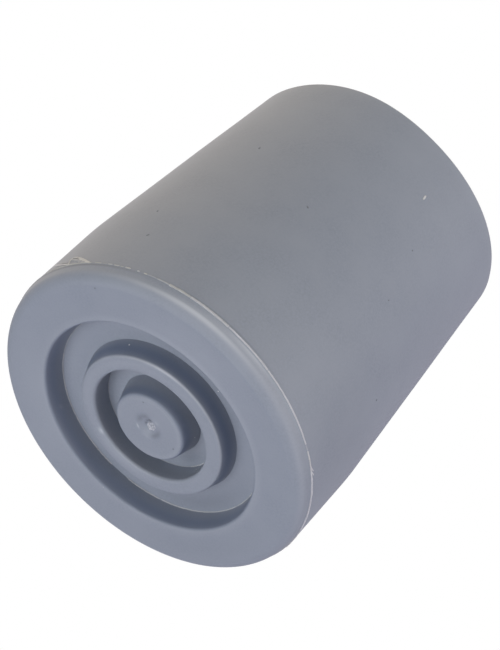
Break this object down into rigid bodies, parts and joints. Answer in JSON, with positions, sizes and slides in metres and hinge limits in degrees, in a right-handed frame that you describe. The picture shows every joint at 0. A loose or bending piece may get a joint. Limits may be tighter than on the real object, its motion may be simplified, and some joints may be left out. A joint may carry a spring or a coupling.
{
  "type": "rubber cane tip",
  "caption": "Tapered rubber ferrule with a blind round socket at the top and a flat tread with concentric ring grooves.",
  "frame": {"origin": "middle of the tread, in the plane that stands on the floor", "axes": "+Z along the axis of turning, from the tread to the socket's mouth; X and Y are alike"},
  "size_m": [0.0382, 0.0382, 0.0423],
  "materials": {
    "rubber": "satin moulded, blue-grey"
  },
  "bodies": {
    "root": {"cane_tip": "rubber"}
  },
  "joints": []
}
